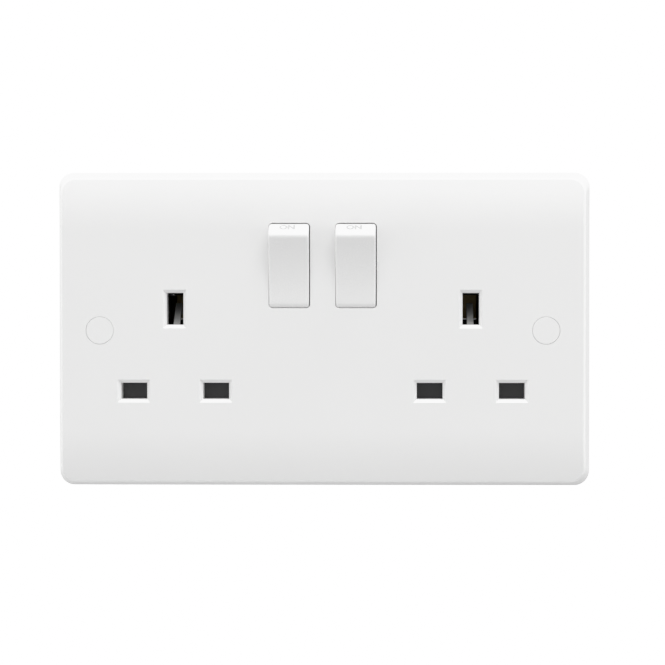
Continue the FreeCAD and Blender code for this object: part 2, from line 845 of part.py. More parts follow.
def live_link(side):
    pieces = [bar(x, z) for x, z in live_link_blanks(side)]
    pieces += line_clip(live_clip_x[side], line_z, bar_front_y)
    return joined(pieces)


def live_feed_blanks():
    return [
        (around(0, feed_bar_half_length), around(rocker_z, feed_bar_width / 2)),
        (around(0, tunnel_width / 2), (rocker_z, terminal_bottom_z)),
    ]


def live_feed():
    """The live terminal with the two knife edges that the contact levers rock on."""
    pieces = [bar(x, z) for x, z in live_feed_blanks()]
    pieces.append(tunnel(0, terminal_z))
    knife_half_width = lever_width / 2 - lever_cheek - bar_clearance
    for side in sides:
        pieces.append(prism_x([
            (lever_pivot_y, rocker_z),
            (bar_front_y, rocker_z + fulcrum_half_base),
            (bar_front_y, rocker_z - fulcrum_half_base),
        ], around(side * rocker_x, knife_half_width)))
    return joined(pieces)


def earth_strap_blanks():
    """The flat runs of the earth strap, on the back of the housing."""
    half_length = socket_pitch / 2 + clip_root + clip_leaf
    blanks = [(around(0, half_length), earth_strap_limits)]
    for side in sides:
        arm = around(side * earth_terminal_x, earth_arm_width / 2)
        blanks.append((arm, (earth_z, terminal_bottom_z)))
    return blanks


def earth_strap():
    strap_y = (tunnel_roof_y, tunnel_back_y)
    pieces = [block(x, strap_y, z) for x, z in earth_strap_blanks()]
    for side in sides:
        pieces.append(tunnel(side * earth_terminal_x, terminal_z))
    for centre in socket_centres:
        pieces += earth_clip(centre, earth_strap_limits, tunnel_roof_y)
    return joined(pieces)


def housing_body():
    """The outside of the rear housing: a flat base, the strap tower and the terminal towers."""
    depth = (housing_front_y, tower_back_y)
    wall = housing_wall
    strap_half_length = socket_pitch / 2 + earth_chamber_width / 2 + strap_tower_wall
    pieces = [housing_outline((housing_front_y, base_back_y))]
    pieces.append(rounded_block(
        around(0, strap_half_length), depth,
        grown(earth_strap_limits, strap_tower_wall), housing_corner_radius / 2
    ))
    pieces.append(rounded_block(
        around(0, terminal_block_half_width), depth,
        (terminal_bottom_z - bar_clearance - wall / 2, housing_top_z), housing_corner_radius
    ))
    pieces.append(rounded_block(
        around(0, tunnel_width / 2 + bar_clearance + wall), depth,
        (housing_bottom_z, neutral_tunnel_top_z + bar_clearance + wall), housing_corner_radius
    ))
    for side in sides:
        arm = around(side * earth_terminal_x, earth_arm_width / 2 + bar_clearance + strap_tower_wall)
        pieces.append(block(arm, depth, (earth_z, terminal_bottom_z)))
    ear_y = (housing_front_y, housing_front_y + housing_ear_thickness)
    for x, z in housing_boss_places():
        pieces.append(rod_y(housing_ear_radius, x, z, ear_y))
        edge_z = housing_bottom_z + wall if z < 0 else housing_top_z - wall
        pieces.append(block(around(x, housing_ear_radius), ear_y, sorted((z, edge_z))))
    return joined(pieces)


def housing_cuts():
    """Chambers and channels: the brass parts drop in from the front, the earth strap from behind."""
    front = housing_front_y
    channel_y = (front, chamber_back_y)
    pocket_y = (front, tunnel_back_y + bar_clearance)
    cuts = [block(around(0, switch_cavity_half_width), channel_y, switch_cavity_z())]
    blanks = neutral_bar_blanks() + live_link_blanks(-1) + live_link_blanks(1)
    for x, z in blanks:
        cuts.append(block(grown(x, bar_clearance), channel_y, grown(z, bar_clearance)))
    for centre in socket_centres:
        for side in sides:
            x = centre + side * pin_spacing / 2
            cuts.append(block(around(x, chamber_width / 2), channel_y, around(line_z, chamber_height / 2)))
        earth_x = around(centre, earth_chamber_width / 2)
        cuts.append(block(earth_x, channel_y, earth_window_z()))
        cuts.append(block(earth_x, (front, tower_back_y), grown(earth_strap_limits, bar_clearance)))
    for x, z in earth_strap_blanks():
        cuts.append(block(grown(x, bar_clearance), (tunnel_roof_y, tower_back_y), grown(z, bar_clearance)))
    tunnel_half = tunnel_width / 2 + bar_clearance
    cuts.append(block(around(0, tunnel_half), pocket_y, grown(terminal_z, bar_clearance)))
    cuts.append(block(around(0, tunnel_half), pocket_y, grown(neutral_tunnel_limits, bar_clearance)))
    wire_y = (bar_back_y, tunnel_roof_y)
    wire_half = tunnel_width / 2 - tunnel_wall
    for x in (-earth_terminal_x, 0, earth_terminal_x):
        cuts.append(block(around(x, wire_half), wire_y, (terminal_top_z, housing_top_z)))
    cuts.append(block(around(0, wire_half), wire_y, (housing_bottom_z, neutral_tunnel_bottom_z)))
    for side in sides:
        x = side * earth_terminal_x
        pocket = around(x, tunnel_half)
        cuts.append(block(pocket, (bar_front_y, tower_back_y), grown(terminal_z, bar_clearance)))
    for z in (sum(terminal_z) / 2, neutral_tunnel_z):
        cuts.append(rod_y(terminal_head_hole_radius, 0, z, (tunnel_back_y, tower_back_y)))
    bore = housing_screw_radius + seat_clearance
    for x, z in housing_boss_places():
        cuts.append(rod_y(bore, x, z, (front, front + housing_ear_thickness)))
    return cuts


def rear_housing():
    return housing_body().cut(housing_cuts()).removeSplitter()


def terminal_screws():
    """The four clamping screws, backed out as they are before wiring."""
    places = [(side * earth_terminal_x, sum(terminal_z) / 2) for side in sides]
    places += [(0, sum(terminal_z) / 2), (0, neutral_tunnel_z)]
    screws = []
    for x, z in places:
        tip_y = tunnel_roof_y - terminal_screw_grip
        head_y = tip_y + terminal_screw_length
        screws.append(joined([
            rod_y(terminal_screw_radius, x, z, (tip_y, head_y)),
            rod_y(terminal_head_radius, x, z, (head_y, head_y + terminal_head_height)),
        ]))
    return Part.makeCompound(screws)


def housing_screws():
    """The four screws that hold the rear housing to the plate's bosses."""
    screws = []
    for x, z in housing_boss_places():
        seat_y = housing_front_y + housing_ear_thickness
        screws.append(joined([
            rod_y(housing_screw_radius, x, z, (housing_front_y - housing_screw_grip, seat_y)),
            rod_y(housing_screw_head_radius, x, z, (seat_y, seat_y + housing_screw_head_height)),
        ]))
    return Part.makeCompound(screws)


save("front_plate", front_plate())
save("contact_cover", contact_cover())
save("rear_housing", rear_housing())
save("fixing_screws", fixing_screws())
save("terminal_screws", terminal_screws())
save("housing_screws", housing_screws())
save("earth_strap", earth_strap())
save("neutral_bar", neutral_bar())
save("live_feed", live_feed())
for side in sides:
    name = side_names[side]
    centre = side * socket_pitch / 2
    save("screw_cap_" + name, screw_cap(side))
    save("rocker_" + name, in_rocker(rocker_body(), side))
    save("plunger_" + name, in_rocker(plunger(), side))
    save("plunger_spring_" + name, in_rocker(plunger_spring(), side))
    save("contact_lever_" + name, on_lever(contact_lever(), side))
    save("moving_contact_" + name, on_lever(moving_contact(), side))
    save("fixed_contact_" + name, fixed_contact(side))
    save("live_link_" + name, live_link(side))
    save("shutter_" + name, shutter(centre))
    save("shutter_spring_" + name, shutter_spring(centre))
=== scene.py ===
import bpy
import bmesh
import math
from mathutils import Matrix, Vector


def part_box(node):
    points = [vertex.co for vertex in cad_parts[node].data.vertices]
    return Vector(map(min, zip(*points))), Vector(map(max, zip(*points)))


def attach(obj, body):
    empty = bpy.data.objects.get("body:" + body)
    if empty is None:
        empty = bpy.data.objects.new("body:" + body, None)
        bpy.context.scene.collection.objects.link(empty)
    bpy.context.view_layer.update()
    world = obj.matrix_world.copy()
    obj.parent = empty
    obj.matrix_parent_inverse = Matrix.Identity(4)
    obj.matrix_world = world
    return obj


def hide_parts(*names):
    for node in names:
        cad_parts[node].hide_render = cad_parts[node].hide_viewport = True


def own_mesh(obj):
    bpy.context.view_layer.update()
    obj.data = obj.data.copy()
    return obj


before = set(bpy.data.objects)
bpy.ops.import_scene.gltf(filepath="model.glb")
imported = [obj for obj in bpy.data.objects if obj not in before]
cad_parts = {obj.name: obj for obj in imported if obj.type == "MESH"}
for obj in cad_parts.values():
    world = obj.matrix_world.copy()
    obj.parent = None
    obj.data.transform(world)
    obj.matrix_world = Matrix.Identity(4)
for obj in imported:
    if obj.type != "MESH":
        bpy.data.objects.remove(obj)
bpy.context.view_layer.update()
mm = 0.001


# ---- Front plate
# The moulded urea cover: white, glossy, flat across the middle and bending back along its top
# and bottom. It is pressed in one piece with its slots, the two rocker openings and the seats
# for the screw caps, so its surface has only the faint ripple of a polished tool.

class Value:
    """A value in a node tree: arithmetic on values adds their Math nodes."""

    def __init__(self, nodes, socket):
        self.nodes = nodes
        self.socket = socket

    def math(self, operation, first, second):
        return self.nodes.node("ShaderNodeMath", {"operation": operation}, {0: first, 1: second})

    def __add__(self, other):
        return self.math("ADD", self, other)

    def __radd__(self, other):
        return self.math("ADD", other, self)

    def __sub__(self, other):
        return self.math("SUBTRACT", self, other)

    def __rsub__(self, other):
        return self.math("SUBTRACT", other, self)

    def __mul__(self, other):
        return self.math("MULTIPLY", self, other)

    def __rmul__(self, other):
        return self.math("MULTIPLY", other, self)

    def __truediv__(self, other):
        return self.math("DIVIDE", self, other)

    def __rtruediv__(self, other):
        return self.math("DIVIDE", other, self)


class Nodes:
    """A node tree under construction."""

    def __init__(self, tree):
        self.tree = tree

    def feed(self, node, inputs):
        """Gives sockets their values or links. A list holds the links of one socket."""
        for key, value in inputs.items():
            for each in value if isinstance(value, list) else [value]:
                if isinstance(each, Value):
                    self.tree.links.new(each.socket, node.inputs[key])
                else:
                    node.inputs[key].default_value = each

    def node(self, kind, settings, inputs, output=0):
        """A node of any kind: its settings first, then its sockets' values or links."""
        made = self.tree.nodes.new(kind)
        for key, value in settings.items():
            if key == "stops":
                ramp = made.color_ramp
                while len(ramp.elements) < len(value):
                    ramp.elements.new(0.5)
                for element, (position, shade) in zip(ramp.elements, value):
                    element.position = position
                    element.color = (shade, shade, shade, 1)
            else:
                setattr(made, key, value)
        self.feed(made, inputs)
        return Value(self, made.outputs[output])

    def along(self, place, axis):
        """One coordinate of a place or direction."""
        return self.node("ShaderNodeSeparateXYZ", {}, {0: place}, axis)


class Finish(Nodes):
    """A material under construction, with one Principled shader."""

    def __init__(self, name, **constants):
        self.material = bpy.data.materials.new(name)
        self.material.use_nodes = True
        super().__init__(self.material.node_tree)
        self.shader = self.tree.nodes["Principled BSDF"]
        self.place = self.node("ShaderNodeTexCoord", {}, {}, "Object")
        self.wear(**constants)

    def noise(self, scale, detail=2.0, roughness=0.5, stretch=None):
        """Noise in the object's own space. A stretch makes it finer along each axis."""
        place = self.place
        if stretch:
            place = self.node("ShaderNodeMapping", {}, {"Vector": place, "Scale": stretch})
        return self.node("ShaderNodeTexNoise", {}, {
            "Vector": place, "Scale": scale, "Detail": detail, "Roughness": roughness,
        })

    def fade(self, axis, start, end):
        """Zero up to one place along an axis of the object, rising to one at another."""
        return self.node("ShaderNodeMapRange", {}, {
            "Value": self.along(self.place, axis), "From Min": start, "From Max": end,
        })

    def ramp(self, value, *stops):
        return self.node("ShaderNodeValToRGB", {"stops": stops}, {"Fac": value})

    def blend(self, factor, first, second):
        """A mix of two colours, which are the Mix node's sockets 6 and 7 and its output 2."""
        first, second = ((*c, 1) if isinstance(c, tuple) else c for c in (first, second))
        return self.node(
            "ShaderNodeMix", {"data_type": "RGBA"}, {"Factor": factor, 6: first, 7: second}, 2,
        )

    def bump(self, height, distance):
        return self.node("ShaderNodeBump", {}, {
            "Height": height, "Distance": distance, "Strength": 1.0,
        })

    def wear(self, **inputs):
        """Feeds the shader, whose sockets are written with underscores for spaces."""
        self.feed(self.shader, {key.replace("_", " "): value for key, value in inputs.items()})
        return self.material


def white_plastic(name, tone, gloss):
    """Glossy white moulding: faint, slightly darker clouds under a rippled skin."""
    finish = Finish(name, IOR=1.5, Specular_IOR_Level=0.5)
    cloud = finish.ramp(finish.noise(35.0), (0.35, 0.0), (0.65, 1.0))
    ripple = finish.noise(900.0, detail=1.0)
    grain = finish.noise(6000.0)
    clouded = tuple(c * 0.992 for c in tone)
    return finish.wear(
        Base_Color=finish.blend(cloud, tone, clouded),
        Roughness=gloss + 0.05 * grain + 0.02 * cloud,
        Normal=finish.bump(ripple, distance=0.0035 * mm),
    )


def placed(name, data):
    """A new object in the scene."""
    made = bpy.data.objects.new(name, data)
    bpy.context.scene.collection.objects.link(made)
    return made


def piece(name, mesh, body, material, slot, *stands_for):
    """Puts a finished mesh into the scene as a piece that rides on a body."""
    mesh.name = name
    made = placed(name, mesh)
    if material:
        mesh.materials.clear()
        mesh.materials.append(material)
    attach(made, body)
    if stands_for:
        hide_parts(*stands_for)
    return made


def shape_of(*meshes):
    """Meshes as one shape that can be worked on."""
    shape = bmesh.new()
    for mesh in meshes:
        shape.from_mesh(mesh)
    return shape


def mesh_of(shape, mesh=None):
    """The shape as a new mesh, or written over a mesh whose materials it keeps."""
    if mesh is None:
        mesh = bpy.data.meshes.new("part")
    shape.to_mesh(mesh)
    shape.free()
    return mesh


def closed_mesh(shape):
    """The mesh of one closed skin, its normals outward."""
    bmesh.ops.recalc_face_normals(shape, faces=shape.faces)
    if shape.calc_volume(signed=True) < 0:
        bmesh.ops.reverse_faces(shape, faces=shape.faces)
    return mesh_of(shape)


WELD = 1e-7


def node_copy(name):
    """A CAD node's mesh as a welded copy that can be worked on."""
    shape = shape_of(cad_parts[name].data)
    bmesh.ops.remove_doubles(shape, verts=shape.verts, dist=WELD)
    return mesh_of(shape)


def baked(carrier, **keeping):
    """The mesh that a helper object comes to with its modifiers. The object then goes."""
    graph = bpy.context.evaluated_depsgraph_get()
    mesh = bpy.data.meshes.new_from_object(
        carrier.evaluated_get(graph), depsgraph=graph, **keeping,
    )
    bpy.data.objects.remove(carrier)
    return mesh


def finished(mesh, kind, **settings):
    """The mesh that one modifier makes of this one."""
    carrier = placed("carrier", mesh)
    step = carrier.modifiers.new(kind.lower(), kind)
    for key, value in settings.items():
        setattr(step, key, value)
    return baked(carrier, preserve_all_data_layers=True)


def smooth_by_angle(mesh, degrees=30):
    """Marks edges sharper than an angle and shades the rest as one surface."""
    shape = shape_of(mesh)
    limit = math.radians(degrees)
    for edge in shape.edges:
        edge.smooth = len(edge.link_faces) == 2 and edge.calc_face_angle(0.0) < limit
    for face in shape.faces:
        face.smooth = True
    return finished(mesh_of(shape, mesh), "WEIGHTED_NORMAL", keep_sharp=True, weight=50)


PLATE_FACE = -9.5
PLATE_HALF_HEIGHT = 43.0 * mm
CROWN_START = 27.25 * mm
CROWN_DROP = 1.9 * mm
CROWN_STRIPS = 16
SKIN_MARGIN = 1.1 * mm
SKIN_FACING = -0.1
ARC_TOLERANCE = 0.05 * mm
crown_band = PLATE_HALF_HEIGHT - CROWN_START
crown_radius = (crown_band ** 2 + CROWN_DROP ** 2) / (2 * CROWN_DROP)


def crowned(mesh):
    """Gives the bending bands at the top and bottom many narrow strips on the true arc."""
    shape = shape_of(mesh)
    front = PLATE_FACE * mm
    skin_end = front + CROWN_DROP + SKIN_MARGIN
    for side in (-1, 1):
        for step in range(1, CROWN_STRIPS):
            level = side * (CROWN_START + crown_band * step / CROWN_STRIPS)
            skin = [face for face in shape.faces
                    if max(v.co.y for v in face.verts) < skin_end
                    and face.normal.y < SKIN_FACING]
            corners = dict.fromkeys(v for face in skin for v in face.verts)
            edges = dict.fromkeys(e for face in skin for e in face.edges)
            bmesh.ops.bisect_plane(
                shape, geom=[*corners, *edges, *skin], dist=WELD,
                plane_co=(0, 0, level), plane_no=(0, 0, 1),
            )
    for vertex in shape.verts:
        beyond = abs(vertex.co.z) - CROWN_START
        if 0 < beyond < crown_band:
            arc = front + crown_radius - math.sqrt(crown_radius ** 2 - beyond ** 2)
            if abs(vertex.co.y - arc) < ARC_TOLERANCE:
                vertex.co.y = arc
    return mesh_of(shape, mesh)


def lofted(sections):
    """Joins outlines of (y, z) points, each at its x, into one closed skin."""
    shape = bmesh.new()
    rows = [[shape.verts.new((x, y, z)) for y, z in points] for x, points in sections]
    count = len(rows[0])
    for first, second in zip(rows, rows[1:]):
        for i in range(count):
            j = (i + 1) % count
            shape.faces.new((first[i], first[j], second[j], second[i]))
    shape.faces.new(rows[0][::-1])
    shape.faces.new(rows[-1])
    return closed_mesh(shape)


def cut(mesh, *tools):
    """The mesh less each of the tool meshes."""
    for tool in tools:
        other = placed("tool", tool)
        mesh = finished(mesh, "BOOLEAN", operation="DIFFERENCE", object=other, solver="EXACT")
        bpy.data.objects.remove(other)
    return mesh


def rounded_outline(half_width, half_height, radius, steps=8):
    """The corners of an upright rounded rectangle about the origin."""
    corners = []
    for quarter, (across, up) in enumerate(((1, 1), (-1, 1), (-1, -1), (1, -1))):
        for step in range(steps + 1):
            turn = math.pi / 2 * (quarter + step / steps)
            corners.append((across * (half_width - radius) + radius * math.cos(turn),
                            up * (half_height - radius) + radius * math.sin(turn)))
    return corners


OPENING_X = 9.0
OPENING_Z = 17.5
OPENING_HALF_WIDTH = 5.575
OPENING_HALF_HEIGHT = 11.5
OPENING_CORNER = 1.05
RIM_SIZE = 0.16
RIM_KNEE = 0.04
RIM_BULGE = 0.03
RIM_OVERSHOOT = 0.1
RIM_RUNOUT = 0.02
RIM_SIDE_SHARE = 0.1


def rim_cutter(side):
    """The wedge ring that breaks the front edge of one rocker opening at its top and foot."""
    sections = []
    for depth, spread in (
        (-RIM_OVERSHOOT, RIM_SIZE + RIM_OVERSHOOT),
        (RIM_KNEE, RIM_SIZE - RIM_KNEE - RIM_BULGE),
        (RIM_SIZE + RIM_RUNOUT, -RIM_BULGE),
    ):
        half_width = OPENING_HALF_WIDTH + RIM_SIDE_SHARE * spread
        half_height = OPENING_HALF_HEIGHT + spread
        sections.append((depth, rounded_outline(half_width, half_height, OPENING_CORNER)))
    ring = lofted(sections)
    ring.transform(Matrix.Rotation(math.pi / 2, 4, "Z"))
    ring.transform(Matrix.Translation((side * OPENING_X, PLATE_FACE, OPENING_Z)))
    ring.transform(Matrix.Scale(mm, 4))
    return ring


plate_white = white_plastic("plate_white", (0.86, 0.86, 0.858), gloss=0.26)
plate_mesh = cut(crowned(node_copy("front_plate")), rim_cutter(-1), rim_cutter(1))
plate_mesh = smooth_by_angle(plate_mesh, degrees=25)
piece("plate", plate_mesh, "socket", plate_white, "white_plate", "front_plate")


# ---- Screw caps
# Two small round covers in the plate's own plastic, turned with a fine broken edge and pushed
# in flush over the fixing screws, so that only the thin shadow line of their fit shows.

def turned(profile, sides=64):
    """A closed solid of revolution about Y, from its (radius, y) corners in millimetres."""
    shape = bmesh.new()
    turns = [2 * math.pi * i / sides for i in range(sides)]
    rings = []
    for radius, y in profile:
        places = [(radius * math.cos(turn), y, radius * math.sin(turn)) for turn in turns]
        rings.append([shape.verts.new(place) for place in (places if radius else places[:1])])
    for first, second in zip(rings, rings[1:]):
        for i in range(sides):
            j = (i + 1) % sides
            round_face = ((first, i), (first, j), (second, j), (second, i))
            corners = dict.fromkeys(ring[k % len(ring)] for ring, k in round_face)
            shape.faces.new(list(corners))
    return closed_mesh(shape)


def round_corner(radius, y, size, steps=5):
    """The (radius, y) corners of a rounded front rim, from the side to the face."""
    corners = []
    for step in range(steps + 1):
        turn = math.pi / 2 * step / steps
        corners.append((radius - size * (1 - math.cos(turn)), y + size * (1 - math.sin(turn))))
    return corners


SIDES = ((-1, "left"), (1, "right"))
FIXING_X = 60.3
CAP_RADIUS = 3.70
CAP_FRONT = PLATE_FACE
CAP_BACK = -7.4
CAP_RIM = 0.10
cap_white = white_plastic("cap_white", (0.86, 0.86, 0.858), gloss=0.27)
for side, name in SIDES:
    rim = round_corner(CAP_RADIUS, CAP_FRONT, CAP_RIM)
    cap = turned([(0, CAP_BACK), (CAP_RADIUS, CAP_BACK), *rim, (0, CAP_FRONT)])
    cap.transform(Matrix.Scale(mm, 4) @ Matrix.Translation((side * FIXING_X, 0, 0)))
    cap = smooth_by_angle(cap, degrees=35)
    piece(f"cap_{name}", cap, "socket", cap_white, "white_cap", f"screw_cap_{name}")


# ---- Rocker switches
# Two hollow white rockers hang by their pins behind the plate. Each has a shallow dished face
# between two crests, ends that are parts of one cylinder about the pin, softly rounded sides
# and an ON pressed into its upper end, which shows while the switch is on.

PIVOT = Vector((OPENING_X, -4.0, OPENING_Z))
ROCKER_HALF_WIDTH = 5.435
ROCKER_SHIFT = -0.09
ROCKER_LEAN = math.radians(2.0)
ROCKER_END_RADIUS = 12.38
ROCKER_CREST = -7.57
ROCKER_SKIRT = -1.25
ROCKER_WALL = 1.3
ROCKER_TILT = math.radians(8.35)
SKIRT_RUNOUT = 2.0
FACE_ANGLE = math.radians(7.5)
FACE_BLEND = 54.0
SIDE_ROUND = 0.60
CREST_ROUND = 0.9
ARC_STEPS = 13
CREST_STEPS = 6
FACE_STEPS = 8
SIDE_STEPS = 6


def rocker_side(inset):
    """The rocker's side outline about its pin, level, from one skirt edge over both crests."""
    radius = ROCKER_END_RADIUS - inset
    crest = Vector((ROCKER_CREST + inset, math.sqrt(radius ** 2 - (ROCKER_CREST + inset) ** 2)))
    skirt_z = math.sqrt(radius ** 2 - ROCKER_SKIRT ** 2)
    blend_z = FACE_BLEND * math.tan(FACE_ANGLE) * math.cos(FACE_ANGLE)
    blend = Vector((crest.x + (crest.y - blend_z) * math.tan(FACE_ANGLE), blend_z))
    centre_y = blend.x - FACE_BLEND * math.cos(FACE_ANGLE)
    start = math.atan2(skirt_z, -ROCKER_SKIRT)
    end = math.atan2(crest.y, -crest.x) + CREST_ROUND / radius
    half = []
    for step in range(ARC_STEPS + 1):
        angle = start + (end - start) * step / ARC_STEPS
        half.append(Vector((-radius * math.cos(angle), radius * math.sin(angle))))
    first = half.pop()
    last = crest + CREST_ROUND * Vector((math.sin(FACE_ANGLE), -math.cos(FACE_ANGLE)))
    for step in range(CREST_STEPS + 1):
        t = step / CREST_STEPS
        half.append(first * (1 - t) ** 2 + crest * 2 * t * (1 - t) + last * t ** 2)
    straight = half[-1]
    for step in range(1, FACE_STEPS + 1):
        half.append(straight.lerp(blend, step / FACE_STEPS))
    for step in range(1, FACE_STEPS + 1):
        z = blend.y * (1 - step / FACE_STEPS)
        half.append(Vector((centre_y + math.sqrt(FACE_BLEND ** 2 - z ** 2), z)))
    return half + [Vector((p.x, -p.y)) for p in reversed(half[:-1])]


def rocker_skin():
    """The outside, with both long edges rounded."""
    sections = []
    for step in range(SIDE_STEPS + 1):
        turn = math.pi / 2 * (1 - step / SIDE_STEPS)
        inset = SIDE_ROUND * (1 - math.cos(turn))
        x = SIDE_ROUND * (1 - math.sin(turn)) - ROCKER_HALF_WIDTH
        sections.append((x, rocker_side(inset)))
    return lofted(sections + [(-x, points) for x, points in reversed(sections)])


def rocker_hollow():
    """The inside, which runs out past the skirt so that the shell is open behind."""
    points = rocker_side(ROCKER_WALL)
    for skirt in (points[0], points[-1]):
        skirt.x += SKIRT_RUNOUT
    reach = ROCKER_HALF_WIDTH - ROCKER_WALL
    return lofted([(-reach, points), (reach, points)])


def box_mesh(x, y, z):
    """A plain block between three pairs of limits."""
    return lofted([(side, [(y[0], z[0]), (y[1], z[0]), (y[1], z[1]), (y[0], z[1])]) for side in x])


STEM_HALF_WIDTH = 3.1
STEM_ROOT = -5.9
STEM_END = 4.5
BORE_RADIUS = 2.1
BORE_ROOT = -5.2
BORE_END = 5.5


def stem_tube():
    """The square stem with the round bore that guides the plunger."""
    across = (-STEM_HALF_WIDTH, STEM_HALF_WIDTH)
    block = box_mesh(across, (STEM_ROOT, STEM_END), across)
    bore = [(0, BORE_ROOT), (BORE_RADIUS, BORE_ROOT), (BORE_RADIUS, BORE_END), (0, BORE_END)]
    return cut(block, turned(bore, sides=40))


LUG_START = 3.9
LUG_HALF_HEIGHT = 1.9
PIN_RADIUS = 1.1
PIN_LENGTH = 2.4
PIN_CHAMFER = 0.1


def lug_and_pin(side):
    """The lug inside one wall of the shell, and the pin that stands out of it."""
    reach = sorted((side * LUG_START, side * (ROCKER_HALF_WIDTH - ROCKER_WALL / 2)))
    across = (-LUG_HALF_HEIGHT, LUG_HALF_HEIGHT)
    pin = turned([
        (0, 0), (PIN_RADIUS, 0), (PIN_RADIUS, PIN_LENGTH - PIN_CHAMFER),
        (PIN_RADIUS - PIN_CHAMFER, PIN_LENGTH), (0, PIN_LENGTH),
    ], sides=36)
    outward = Matrix.Rotation(-side * math.pi / 2, 4, "Z")
    pin.transform(Matrix.Translation((side * LUG_START, 0, 0)) @ outward)
    return box_mesh(reach, across, across), pin


def word_mesh(word, width, height, reach):
    """Upright lettering as a closed mesh in millimetres, centred, its face along Z."""
    curve = bpy.data.curves.new("lettering", "FONT")
    curve.body = word
    curve.extrude = reach
    curve.resolution_u = 5
    curve.offset = 0.055
    mesh = baked(placed("lettering", curve))
    lows = [min(v.co[i] for v in mesh.vertices) for i in range(2)]
    highs = [max(v.co[i] for v in mesh.vertices) for i in range(2)]
    for v in mesh.vertices:
        v.co.x = (v.co.x - (lows[0] + highs[0]) / 2) * width / (highs[0] - lows[0])
        v.co.y = (v.co.y - (lows[1] + highs[1]) / 2) * height / (highs[1] - lows[1])
    shape = shape_of(mesh)
    bmesh.ops.remove_doubles(shape, verts=shape.verts, dist=0.0005)
    return closed_mesh(shape)


WORD_SIZE = (4.3, 2.3)
WORD_ANGLE = math.radians(56.7)
WORD_X = -0.42
WORD_DEPTH = 0.12
WORD_OVERSHOOT = 0.3
MARK_DEPTH = 0.03
MARK_OVERLAP = 0.02


def wrapped_word(low, high):
    """ON on the cylinder of the upper end, between two depths below its surface."""
    mesh = word_mesh("ON", *WORD_SIZE, (low - high) / 2)
    for v in mesh.vertices:
        angle = WORD_ANGLE + v.co.y / ROCKER_END_RADIUS
        radius = ROCKER_END_RADIUS - (low + high) / 2 + v.co.z
        v.co = Vector((v.co.x + WORD_X, -radius * math.cos(angle), radius * math.sin(angle)))
    mesh.transform(Matrix.Rotation(-ROCKER_TILT - ROCKER_LEAN, 4, "X"))
    return mesh


def satin_plastic(name, tone, gloss, grain_size=1800.0, grain_depth=0.004 * mm):
    """Satin moulding: fine tool texture, and slightly polished, lighter high spots."""
    finish = Finish(name)
    patches = finish.ramp(finish.noise(60.0, detail=3.0), (0.3, 0.0), (0.7, 1.0))
    texture = finish.noise(grain_size, detail=3.0, roughness=0.6)
    polished = tuple(c * 1.18 for c in tone)
    return finish.wear(
        Base_Color=finish.blend(patches, tone, polished),
        Roughness=gloss + 0.16 * texture - 0.06 * patches,
        Normal=finish.bump(texture, grain_depth),
    )


def on_rocker(side):
    """The place of a part drawn about the pin, as the rocker rests when switched on."""
    place = Matrix.Translation((side * PIVOT.x, PIVOT.y, PIVOT.z))
    return Matrix.Scale(mm, 4) @ place @ Matrix.Rotation(ROCKER_TILT, 4, "X")


set_over = Matrix.Translation((ROCKER_SHIFT, 0, 0)) @ Matrix.Rotation(ROCKER_LEAN, 4, "X")
rocker_shell = cut(rocker_skin(), rocker_hollow(), wrapped_word(WORD_DEPTH, -WORD_OVERSHOOT))
rocker_shell.transform(set_over)
rocker_mesh = mesh_of(shape_of(rocker_shell, stem_tube(), *lug_and_pin(-1), *lug_and_pin(1)))
mark_mesh = wrapped_word(WORD_DEPTH + MARK_OVERLAP, MARK_DEPTH)
mark_mesh.transform(set_over)
rocker_white = white_plastic("rocker_white", (0.845, 0.845, 0.843), gloss=0.24)
mark_grey = satin_plastic("mark_grey", (0.50, 0.50, 0.50), gloss=0.4)
for side, name in SIDES:
    body = f"rocker_{name}_body"
    mesh = smooth_by_angle(rocker_mesh.copy())
    mesh.transform(on_rocker(side))
    piece(f"switch_{name}", mesh, body, rocker_white, "white_rocker", f"rocker_{name}")
    mesh = smooth_by_angle(mark_mesh.copy())
    mesh.transform(on_rocker(side))
    piece(f"on_mark_{name}", mesh, body, mark_grey, "white_rocker")


# ---- Plungers
# A coned nylon pin slides in each rocker's stem, and a small wire spring presses it on the
# contact lever below. The nylon is uncoloured, with a slight wax sheen.

PLUNGER_PROFILE = (
    (0, 0.5), (1.7, 0.5), (2.0, 0.7), (2.0, 6.6), (0.98, 7.95), (0.8, 8.12), (0.55, 8.2), (0, 8.2),
)
nylon = satin_plastic(
    "natural_nylon", (0.72, 0.69, 0.60), gloss=0.34, grain_size=1200.0, grain_depth=0.002 * mm,
)
for side, name in SIDES:
    mesh = smooth_by_angle(turned(PLUNGER_PROFILE, sides=40))
    mesh.transform(on_rocker(side))
    piece(f"pin_{name}", mesh, f"plunger_{name}_body", nylon, "natural_plunger", f"plunger_{name}")


